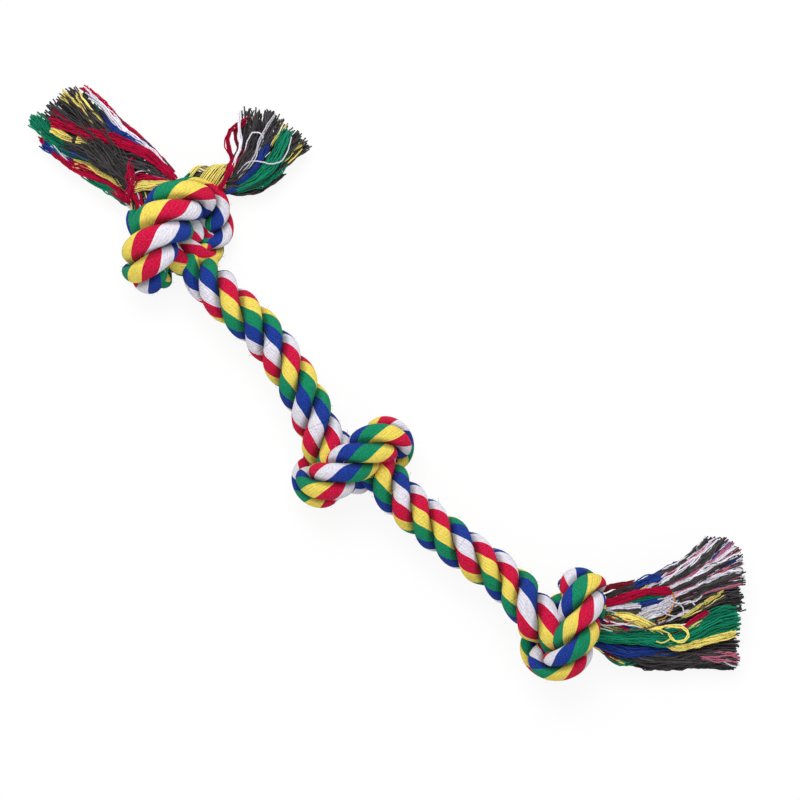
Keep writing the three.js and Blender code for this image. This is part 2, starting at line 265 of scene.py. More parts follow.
# Turns of the lay along the rope, in degrees, and how far each strand's bands are moved on, in bands
layAt = {
    "leftTail": (80.0, (1.5, 4.0, 1.0)),
    "left": (80.0, (-0.5, 2.0, 1.0)),
    "leftExit": (99.6, (-0.17, 0.3, -2.87)),
    "leftSpan": (108.0, (-0.03, 1.02, -1.63)),
    "middle": (98.0, (-0.23, 1.77, -0.98)),
    "rightSpan": (239.0, (-0.15, 3.35, -0.15)),
    "right": (233.0, (-2.06, 2.44, -1.56)),
}
# Half of an overhand knot in rope pitches; its twin makes it whole
halfKnot = [
    (0, 0, 0), (0.2, 0.58, -0.02), (0.4, 1.1, -0.22), (0.62, 1.4, -0.7), (0.79, 1.34, -1.29),
    (0.84, 0.96, -1.75), (0.75, 0.4, -1.94), (0.52, -0.15, -1.78), (0.18, -0.47, -1.38),
    (-0.3, -0.49, -1.03), (-0.85, -0.25, -0.88),
]
knotMiddle = (0, 0, -0.97)
# Place and turn of each knot, how tight it is drawn and how much broader its front pass lies
knots = {
    "left": {"at": (-139.2, 0.2), "heading": 22, "roll": -30, "tilt": -20, "tight": 0.95, "breadth": 0.35},
    "middle": {"at": (-0.8, -38.9), "heading": 4, "roll": 0, "tilt": 0, "tight": 0.93, "breadth": 0.0},
    "right": {"at": (134.1, -41.6), "heading": 42, "roll": 0, "tilt": 18, "tight": 0.86, "breadth": 0.0},
}
leftTail = [
    (-2.58, 0.74, -0.25), (-2.04, 0.59, -0.22), (-1.56, 0.38, -0.18), (-1.23, 0.05, -0.13),
    (-0.98, -0.34, -0.09),
]
leftOut = [(0.5, 0.2, -0.5), (0.93, -0.24, -0.35), (1.3, -0.45, -0.15), (1.94, -0.57, 0.1)]
leftSpan = [(-96, -11), (-77, -13), (-46, -23.5)]
middleIn = [(-1.31, 0.11, 0.17)]
middleOut = [(1.5, 0.03, 0.17)]
rightSpan = [(42.5, -41), (67, -42), (98, -42)]
rightIn = [(-0.93, -0.36, 0.5)]
rightTail = [(0.88, 0.8, -0.2), (1.36, 1.0, -0.25), (1.88, 1.38, -0.31)]
shortTail = [
    (0.02, 2.86, -0.54), (-0.1, 2.48, -0.62), (-0.26, 2.16, -0.74), (-0.56, 1.68, -0.86),
    (-0.74, 1.07, -0.86), (-0.84, 0.47, -0.71), (-0.86, -0.01, -0.42),
]
shortTailLeaves = (-0.99, -0.31, -0.09)
shortEnd = {
    "strand": 2, "radius": 4.5, "thinnest": 0.45, "thinning": 24, "easing": 14, "smoothing": 8, "lead": 3,
    "trim": 6,
}
kneeReach = 2.4
leftTasselReach = 1.65
rightTasselReach = 1.45


def turned(heading, roll, tilt):
    h, r, t = np.radians([heading, roll, tilt])
    about = [
        np.array([[np.cos(h), -np.sin(h), 0], [np.sin(h), np.cos(h), 0], [0, 0, 1]]),
        np.array([[1, 0, 0], [0, np.cos(r), -np.sin(r)], [0, np.sin(r), np.cos(r)]]),
        np.array([[np.cos(t), 0, np.sin(t)], [0, 1, 0], [-np.sin(t), 0, np.cos(t)]]),
    ]
    return about[0] @ about[1] @ about[2]


def tiedLine(knot):
    half = np.array(halfKnot, float)
    line = np.vstack([half[::-1], half[1:] * (-1, -1, 1)]) - knotMiddle
    turn = turned(knot["heading"], knot["roll"], knot["tilt"])
    placed = line @ (turn * rope["pitch"]).T
    height = rope["restHeight"] - placed[:, 2].min()
    middle = np.array([*knot["at"], height])
    return placed * knot["tight"] + middle, middle


samplesPerArc = 24


def evenSteps(points, step):
    p = np.array(points, float)
    p = np.vstack([2 * p[0] - p[1], p, 2 * p[-1] - p[-2]])
    t = np.linspace(0, 1, samplesPerArc, endpoint=False)[:, None]
    rows = []
    for i in range(1, len(p) - 2):
        a, b, c, d = p[i - 1:i + 3]
        ab, bc, cd = [np.linalg.norm(hi - lo) ** 0.5 for lo, hi in ((a, b), (b, c), (c, d))]
        leave = ((b - a) / ab - (c - a) / (ab + bc) + (c - b) / bc) * bc
        reach = ((c - b) / bc - (d - b) / (bc + cd) + (d - c) / cd) * bc
        rows.append(b + leave * t + (3 * (c - b) - 2 * leave - reach) * t ** 2
                    + (2 * (b - c) + leave + reach) * t ** 3)
    line = np.vstack(rows + [p[-2:-1]])
    far = np.concatenate([[0], np.cumsum(np.linalg.norm(np.diff(line, axis=0), axis=1))])
    places = np.linspace(0, far[-1], int(round(far[-1] / step)) + 1)
    return np.stack([np.interp(places, far, line[:, k]) for k in range(3)], 1)


def smoothed(values, passes):
    for _ in range(passes):
        values = np.concatenate([values[:1], (values[:-2] + values[2:] + 2 * values[1:-1]) / 4, values[-1:]])
    return values


def unit(vectors):
    return vectors / np.maximum(np.linalg.norm(vectors, axis=-1, keepdims=True), 1e-9)


def carried(side, along):
    sides = [unit(side - along[0] * (side @ along[0]))]
    for before, after in zip(along[:-1], along[1:]):
        axis = np.cross(before, after)
        last = sides[-1]
        turn = last + np.cross(axis, last) + np.cross(axis, np.cross(axis, last)) / (1 + before @ after)
        sides.append(unit(turn))
    return np.array(sides)


lines = {name: tiedLine(knot) for name, knot in knots.items()}
middles = {name: line[1] for name, line in lines.items()}


def beside(name, points):
    return np.array(points, float) * rope["pitch"] + middles[name]


def overFloor(points):
    return np.array([(x, y, rope["spanHeight"]) for x, y in points])


route = smoothed(evenSteps(np.vstack([
    beside("left", leftTail), lines["left"][0][:-1], beside("left", leftOut), overFloor(leftSpan),
    beside("middle", middleIn), lines["middle"][0], beside("middle", middleOut), overFloor(rightSpan),
    beside("right", rightIn), lines["right"][0], beside("right", rightTail),
]), rope["step"]), rope["smoothing"])


def nearestStation(point):
    return int(np.argmin(np.linalg.norm(route - point, axis=1)))


def stationAway(name, reach, step):
    i = nearestStation(lines[name][0][-1 if step > 0 else 0])
    while np.hypot(*(route[i] - middles[name])[:2]) < reach * rope["pitch"]:
        i += step
    return i


stations = {
    "leftTassel": stationAway("left", leftTasselReach, -1),
    "leftLift": stationAway("left", kneeReach, 1),
    "leftSway": stationAway("middle", kneeReach, -1),
    "rightSway": stationAway("middle", kneeReach, 1),
    "rightLift": stationAway("right", kneeReach, -1),
    "rightTassel": stationAway("right", rightTasselReach, 1),
}
split = nearestStation(beside("left", [shortTailLeaves])[0])
shift = np.array(joints["left_span_sway"]["pos_m"]) / mm - route[stations["leftSway"]]
shift[2] = 0.0
print("rope", round((len(route) - 1) * rope["step"]), "mm, moved by", np.round(shift, 2))

# Frames along the rope, twice as fine as the route
fine = np.linspace(0, len(route) - 1, 2 * (len(route) - 1) + 1)


def finer(values):
    coarse = np.arange(len(values))
    if values.ndim == 1:
        return np.interp(fine, coarse, values)
    return np.stack([np.interp(fine, coarse, values[:, k]) for k in range(values.shape[1])], 1)


along = unit(np.gradient(route, axis=0))
across = carried(np.array([0.0, 0.0, 1.0]), along)
bends = np.zeros_like(route)
bends[1:-1] = (route[:-2] + route[2:] - 2 * route[1:-1]) / rope["step"] ** 2
bends = smoothed(bends, rope["bendSmoothing"])
nearest = np.min([np.hypot(*(route - middle)[:, :2].T) for middle in middles.values()], axis=0)
fullness = np.clip((nearest - rope["reach"]) / rope["taper"], 0, 1)
fullness = fullness ** 2 * (3 - 2 * fullness)
diameters = rope["knotDiameter"] + (rope["diameter"] - rope["knotDiameter"]) * fullness
order = np.arange(len(route))
toEnd = np.minimum(order - stations["leftTassel"], stations["rightTassel"] - order)
opening = np.clip(toEnd * rope["step"] / rope["rootLength"], 0, 1)
diameters = diameters * (rope["rootShare"] + (1 - rope["rootShare"]) * opening)
layLengths = rope["layLength"] * (diameters / rope["diameter"]) ** rope["layShortening"]
laySteps = 2 * math.pi * rope["step"] / layLengths
laySteps[:split + 1] = 0.0
fronts = {name: nearestStation(line[0][len(halfKnot) - 1]) for name, line in lines.items()}
marks = {
    "leftTail": stations["leftTassel"] + rope["tailMark"],
    "left": fronts["left"],
    "leftExit": stations["leftLift"] - rope["exitMark"],
    "leftSpan": (stations["leftLift"] + stations["leftSway"]) // 2,
    "middle": fronts["middle"],
    "rightSpan": (stations["rightSway"] + stations["rightLift"]) // 2,
    "right": fronts["right"],
}


def eased(values):
    return smoothed(np.interp(order, list(marks.values()), values), rope["laySmoothing"])


phases = np.radians(eased([layAt[mark][0] for mark in marks])) + np.cumsum(laySteps)
bandShifts = [eased([layAt[mark][1][strand] for mark in marks]) for strand in range(3)]

centre = finer(route)
forward = unit(finer(along))
upward = unit(finer(across))
bendAt = finer(bends)
radiusAt = finer(diameters) / 2
phaseAt = finer(phases)
bendLength = np.linalg.norm(bendAt, axis=1)
pressed = np.minimum(bendLength * rope["pressPitch"], 1) ** 2
inward = unit(bendAt)
lengthAt = fine * rope["step"]
slope = 1 / math.cos(math.radians(rope["lean"]))
support = math.hypot(math.sin(math.pi / 3), slope * math.cos(math.pi / 3)) / math.sin(math.pi / 3)
angles = np.linspace(0, 2 * math.pi, rope["around"], endpoint=False)
broad = sum(
    knots[name]["breadth"] * np.exp(-((fine - front) * rope["step"] / rope["frontReach"]) ** 2)
    for name, front in fronts.items()
)
level = unit(np.cross(forward, (0.0, 0.0, 1.0)))


def flattened(offsets):
    depth = (offsets * inward[:, None]).sum(-1, keepdims=True)
    wider = offsets * (1 + rope["widening"] * pressed)[:, None, None]
    press = ((rope["thinning"] + rope["widening"]) * pressed)[:, None, None]
    aside = (offsets * level[:, None]).sum(-1, keepdims=True)
    return wider - inward[:, None] * depth * press + level[:, None] * aside * broad[:, None, None]


def strandGrid(strand):
    thick = radiusAt / (1 + support)
    phase = phaseAt + strand * 2 * math.pi / 3
    outward = upward * np.cos(phase)[:, None] + np.cross(forward, upward) * np.sin(phase)[:, None]
    sideways = np.cross(forward, outward)
    wave = sum(np.sin(lengthAt * rate + strand * start) for rate, start in rope["swells"])
    swell = (thick * (1 + rope["unevenness"] * wave))[:, None, None]
    ring = (radiusAt - thick)[:, None, None] * outward[:, None]
    ring = ring + swell * np.cos(angles)[None, :, None] * outward[:, None]
    ring = ring + swell * slope * np.sin(angles)[None, :, None] * sideways[:, None]
    core = flattened((radiusAt - thick)[:, None, None] * outward[:, None])[:, 0] + centre
    return centre[:, None] + flattened(ring), core, outward


def layTurns(strand):
    return phaseAt / math.pi + finer(bandShifts[strand]) / len(bandOrder)


# Closed tube over a grid of rings
# Its lay attribute holds the turn round the strand, the length and how far a side faces the rope's core
def tubeMesh(name, grid, turns, lengths, material):
    rings, sides = grid.shape[:2]
    ends = [grid[0].mean(0), grid[-1].mean(0)]
    points = np.vstack([grid.reshape(-1, 3), ends]) + shift
    points[:, 2] = np.maximum(points[:, 2], rope["floor"])
    i, j = [part.ravel() for part in np.meshgrid(np.arange(rings - 1), np.arange(sides), indexing="ij")]
    k = (j + 1) % sides
    quads = np.stack([i * sides + j, i * sides + k, (i + 1) * sides + k, (i + 1) * sides + j], 1)
    turnAt = turns[:, None] + np.arange(sides + 1)[None] / sides
    flank = (1 - np.cos(np.arange(sides + 1) * 2 * math.pi / sides)) / 2
    ringIndex = np.stack([i, i, i + 1, i + 1], 1)
    sideIndex = np.stack([j, j + 1, j + 1, j], 1)
    corners = np.stack([turnAt[ringIndex, sideIndex], lengths[ringIndex], flank[sideIndex]], -1)
    lay = [corners.reshape(-1, 3)]
    caps = []
    for ring, hub, flip in ((0, rings * sides, True), (rings - 1, rings * sides + 1, False)):
        side = np.arange(sides)
        pair = [ring * sides + side, ring * sides + (side + 1) % sides]
        corner = [turnAt[ring, side], turnAt[ring, side + 1]]
        if flip:
            pair.reverse()
            corner.reverse()
        caps.append(np.stack([*pair, np.full(sides, hub)], 1))
        middleTurn = (corner[0] + corner[1]) / 2
        flat = np.stack([corner[0], corner[1], middleTurn], 1).ravel()
        lay.append(np.stack([flat, np.full(flat.shape, lengths[ring]), np.ones(flat.shape)], -1))
    lay = np.vstack(lay)
    faces = [list(face) for face in quads] + [list(face) for cap in caps for face in cap]
    mesh = bpy.data.meshes.new(name)
    mesh.from_pydata((points * mm).tolist(), [], faces)
    layer = mesh.attributes.new("lay", "FLOAT_VECTOR", "CORNER")
    layer.data.foreach_set("vector", lay.astype(np.float32).ravel())
    mesh.polygons.foreach_set("use_smooth", np.ones(len(faces), bool))
    mesh.materials.append(material)
    mesh.update()
    return mesh


def addObject(name, mesh):
    made = bpy.data.objects.new(name, mesh)
    bpy.context.scene.collection.objects.link(made)
    return made


# The short tassel's strand leaves the lay at the split and runs out under the knot's front pass
def tailGrid(grid, core, outward):
    at = 2 * split
    ahead = 2 * shortEnd["lead"]
    line = evenSteps(np.vstack([beside("left", shortTail), core[at], core[at + ahead]]), rope["step"] / 2)
    keep = len(line) - ahead
    line = smoothed(line, shortEnd["smoothing"])
    tailAlong = unit(np.gradient(line, axis=0))
    tailAcross = carried(outward[at], tailAlong[::-1])[::-1]
    tailRound = np.cross(tailAlong, tailAcross)
    ring = tailAcross[:, None] * np.cos(angles)[None, :, None]
    ring = ring + tailRound[:, None] * np.sin(angles)[None, :, None]
    count = np.arange(len(line))
    thinner = np.interp(count, (shortKnee, shortKnee + shortEnd["thinning"]), (shortEnd["thinnest"], 1.0))
    tube = line[:, None] + ring * (shortEnd["radius"] * thinner)[:, None, None]
    ease = np.clip((count - (keep - shortEnd["easing"])) / shortEnd["easing"], 0, 1)[:, None, None]
    target = grid[at][None] - core[at] + line[:, None]
    return (tube * (1 - ease) + target * ease)[:keep], line


strands = [strandGrid(strand) for strand in range(3)]
shortKnee = 2 * round(2 * shortEnd["radius"] / rope["step"])
tail, tailLine = tailGrid(*strands[shortEnd["strand"]])
cut = {name: 2 * station for name, station in stations.items()}
back = int(round(rope["cutBack"] / rope["step"] * 2))
leftHalf = (cut["leftLift"] + cut["leftSway"]) // 2
rightHalf = (cut["rightSway"] + cut["rightLift"]) // 2
sections = [
    ("leftKnot", cut["leftTassel"] + rope["endTrim"], cut["leftLift"] - back, ["left_knot"], None),
    ("leftOuter", cut["leftLift"] - back, leftHalf, ["left_knot", "left_span"], "leftLift"),
    ("leftInner", leftHalf, cut["leftSway"] + back, ["left_span", "middle_knot"], "leftSway"),
    ("middleKnot", cut["leftSway"] + back, cut["rightSway"] - back, ["middle_knot"], None),
    ("rightInner", cut["rightSway"] - back, rightHalf, ["middle_knot", "right_span"], "rightSway"),
    ("rightOuter", rightHalf, cut["rightLift"] + back, ["right_span", "right_knot"], "rightLift"),
    ("rightKnot", cut["rightLift"] + back, cut["rightTassel"] - rope["endTrim"], ["right_knot"], None),
]
standsFor = {
    "leftKnot": ["left_knot"], "leftOuter": ["left_span"], "leftInner": ["left_span"],
    "middleKnot": ["middle_knot"], "rightInner": ["right_span"], "rightOuter": ["right_span"],
    "rightKnot": ["right_knot"],
}


def attach(piece, bodies, knee):
    if knee is None:
        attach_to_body(piece, bodies[0])
        return
    at = 2 * stations[knee]
    point = centre[at] + shift
    start = Vector((point - forward[at] * rope["blendHalf"]) * mm)
    end = Vector((point + forward[at] * rope["blendHalf"]) * mm)
    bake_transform(piece)


sectionMeshes = {}
for name, first, last, bodies, knee in sections:
    for strand, letter in enumerate("ABC"):
        grid = strands[strand][0][first:last + 1]
        turns = layTurns(strand)[first:last + 1]
        lengths = lengthAt[first:last + 1] / rope["grainLength"]
        if name == "leftKnot" and strand == shortEnd["strand"]:
            opened = tail[shortKnee - shortEnd["trim"]:]
            grid = np.concatenate([opened, strands[strand][0][2 * split:last + 1]])
            ringsBack = np.arange(len(opened), 0, -1)
            tailTurns = layTurns(strand)[2 * split] - ringsBack * rope["step"] / rope["layLength"]
            turns = np.concatenate([tailTurns, layTurns(strand)[2 * split:last + 1]])
            stepsIn = np.arange(len(grid)) + 2 * split - len(opened)
            lengths = stepsIn * rope["step"] / (2 * rope["grainLength"])
        mesh = tubeMesh(name + "Strand" + letter, grid, turns, lengths, ropeCotton)
        piece = addObject(mesh.name, mesh)
        sectionMeshes.setdefault(name, []).append(mesh)
        attach(piece, bodies, knee)
        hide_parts(*[node + "_strand_" + letter.lower() for node in standsFor[name]])
print("strands laid")


# Geometry Nodes helpers
def newTree(name, sockets):
    tree = bpy.data.node_groups.new(name, "GeometryNodeTree")
    tree.interface.new_socket("Geometry", in_out="INPUT", socket_type="NodeSocketGeometry")
    for label, kind in sockets:
        tree.interface.new_socket(label, in_out="INPUT", socket_type=kind)
    tree.interface.new_socket("Geometry", in_out="OUTPUT", socket_type="NodeSocketGeometry")
    entry = tree.nodes.new("NodeGroupInput")
    leave = tree.nodes.new("NodeGroupOutput")
    given = {socket.name: Sock(tree, socket) for socket in entry.outputs if socket.name}
    return tree, given, leave


def storedOn(geometry, name, value, domain):
    inputs = {"Geometry": geometry, "Name": name, "Value": value}
    return geometry.node("GeometryNodeStoreNamedAttribute", inputs, data_type="FLOAT", domain=domain)


def swept(curve, sides, radius):
    ring = curve.node("GeometryNodeCurvePrimitiveCircle", {"Resolution": sides, "Radius": radius})
    return curve.node("GeometryNodeCurveToMesh", {"Curve": curve, "Profile Curve": ring, "Fill Caps": True})


def closeTree(geometry, cloth, leave):
    real = geometry.node("GeometryNodeRealizeInstances", {"Geometry": geometry})
    covered = real.node("GeometryNodeSetMaterial", {"Geometry": real, "Material": cloth})
    covered.tree.links.new(covered.socket, leave.inputs[0])


def grown(name, hostMesh, tree, values):
    host = addObject(name + "Host", hostMesh)
    modifier = host.modifiers.new("grow", "NODES")
    modifier.node_group = tree
    for item in tree.interface.items_tree:
        if item.in_out == "INPUT" and item.name in values:
            modifier[item.identifier] = values[item.name]
    graph = bpy.context.evaluated_depsgraph_get()
    mesh = bpy.data.meshes.new_from_object(host.evaluated_get(graph))
    mesh.name = name
    host.modifiers.remove(modifier)
    bpy.data.objects.remove(host)
    return addObject(name, mesh)


# Yarns: each guide line becomes a crimped round yarn with its own tone
yarn = {
    "radius": 0.37, "sides": 4, "step": 1.6, "floor": 0.6,
    "crimp": 2.0, "crimpScale": 230.0, "crimpChange": 40.0,
    "share": 1.5, "fewest": 6, "spread": 1.25, "flare": 0.8, "twist": 1.2, "flatness": 0.6,
    "wander": 0.75, "riseShare": 0.7, "swayLimit": 1.4, "waveLengths": (14, 38), "waveStart": 6.3, "calm": 15,
    "overshoot": 0.12, "rootRagged": 0.06, "tipRagged": 0.05, "shortest": 6,
    "guideStep": 1.0, "guideSmoothing": 2, "guideEvery": 3, "bowSmoothing": 40,
    "bendInside": 3, "bendOutside": 12,
}


def yarnTree():
    sockets = [
        ("Radius", "NodeSocketFloat"), ("Step", "NodeSocketFloat"), ("Crimp", "NodeSocketFloat"),
        ("Crimp scale", "NodeSocketFloat"), ("Sides", "NodeSocketInt"), ("Seed", "NodeSocketInt"),
        ("Cloth", "NodeSocketMaterial"),
    ]
    tree, given, leave = newTree("yarns", sockets)
    start = given["Geometry"]
    lines = start.node("GeometryNodeMeshToCurve", {"Mesh": start})
    even = start.node("GeometryNodeResampleCurve", {"Curve": lines, "Length": given["Step"]}, mode="LENGTH")
    order = start.node("GeometryNodeInputIndex")
    toneInputs = {"ID": order, "Seed": given["Seed"], 2: 0.0, 3: 1.0}
    tone = start.node("FunctionNodeRandomValue", toneInputs, out=1, data_type="FLOAT")
    toned = storedOn(even, "tone", tone, "CURVE")
    length = start.node("GeometryNodeSplineParameter", out=1)
    measured = storedOn(toned, "along", length, "POINT")
    stored = start.node("GeometryNodeInputNamedAttribute", {"Name": "tone"}, data_type="FLOAT")
    place = start.node("GeometryNodeInputPosition")
    change = stored * yarn["crimpChange"]
    waveInputs = {"Vector": place, "W": change, "Scale": given["Crimp scale"], "Detail": 1.0}
    wave = start.node("ShaderNodeTexNoise", waveInputs, out=1, noise_dimensions="4D")
    centred = start.node("ShaderNodeVectorMath", {0: wave, 1: (0.5, 0.5, 0.5)}, operation="SUBTRACT")
    push = start.node("ShaderNodeVectorMath", {0: centred, "Scale": given["Crimp"]}, operation="SCALE")
    crimped = start.node("GeometryNodeSetPosition", {"Geometry": measured, "Offset": push})
    tube = swept(crimped, given["Sides"], given["Radius"])
    smooth = start.node("GeometryNodeSetShadeSmooth", {"Geometry": tube, "Shade Smooth": True})
    closeTree(smooth, given["Cloth"], leave)
    return tree


# Fuzz: short bent fibres that stand off the strands and take the colour of the band they grow from
fuzz = {
    "density": 26000.0, "length": 1.5, "shares": (0.5, 1.5), "slimness": 0.03, "sides": 3, "bends": 3,
    "bow": ((0, 0, -0.1), (0.1, 0, 0.6), (0.8, 0.1, 0.7)), "lean": 0.5, "spin": 6.28, "floor": 0.2,
}


def fuzzTree():
    sockets = [
        ("Density", "NodeSocketFloat"), ("Length", "NodeSocketFloat"), ("Slimness", "NodeSocketFloat"),
        ("Seed", "NodeSocketInt"), ("Cloth", "NodeSocketMaterial"),
    ]
    tree, given, leave = newTree("fuzz", sockets)
    start = given["Geometry"]
    spread = {"Mesh": start, "Density": given["Density"], "Seed": given["Seed"]}
    spots = start.node("GeometryNodeDistributePointsOnFaces", spread)
    facing = Sock(tree, spots.socket.node.outputs["Rotation"])
    foot, middle, tip = fuzz["bow"]
    bow = {"Resolution": fuzz["bends"], "Start": foot, "Middle": middle, "End": tip}
    fibre = start.node("GeometryNodeCurveQuadraticBezier", bow)
    hair = swept(fibre, fuzz["sides"], given["Slimness"])
    lean = fuzz["lean"]
    spinRange = {0: (-lean, -lean, 0.0), 1: (lean, lean, fuzz["spin"]), "Seed": given["Seed"]}
    spin = start.node("FunctionNodeRandomValue", spinRange, data_type="FLOAT_VECTOR")
    turn = start.node("FunctionNodeEulerToRotation", {0: spin})
    turned = start.node("FunctionNodeRotateRotation", {0: facing, 1: turn}, rotation_space="LOCAL")
    sizeRange = {2: fuzz["shares"][0], 3: fuzz["shares"][1], "Seed": given["Seed"]}
    size = start.node("FunctionNodeRandomValue", sizeRange, out=1, data_type="FLOAT")
    placing = {"Points": spots, "Instance": hair, "Rotation": turned, "Scale": size * given["Length"]}
    hairs = start.node("GeometryNodeInstanceOnPoints", placing)
    closeTree(hairs, given["Cloth"], leave)
    return tree


fuzzGroup = fuzzTree()


def joined(name, meshes):
    made = [addObject(name + str(index), mesh.copy()) for index, mesh in enumerate(meshes)]
    with bpy.context.temp_override(active_object=made[0], selected_editable_objects=made):
        bpy.ops.object.join()
    mesh = made[0].data
    bpy.data.objects.remove(made[0])
    return mesh


for seed, (name, first, last, bodies, knee) in enumerate(sections):
    values = {
        "Density": fuzz["density"], "Length": fuzz["length"] * mm, "Slimness": fuzz["slimness"],
        "Seed": seed, "Cloth": ropeCotton,
    }
    piece = grown(name + "Fuzz", joined(name + "Ground", sectionMeshes[name]), fuzzGroup, values)
    for vertex in piece.data.vertices:
        vertex.co.z = max(vertex.co.z, fuzz["floor"] * mm)
    attach(piece, bodies, knee)
print("fuzz grown")

yarnGroup = yarnTree()
dice = np.random.default_rng(7)

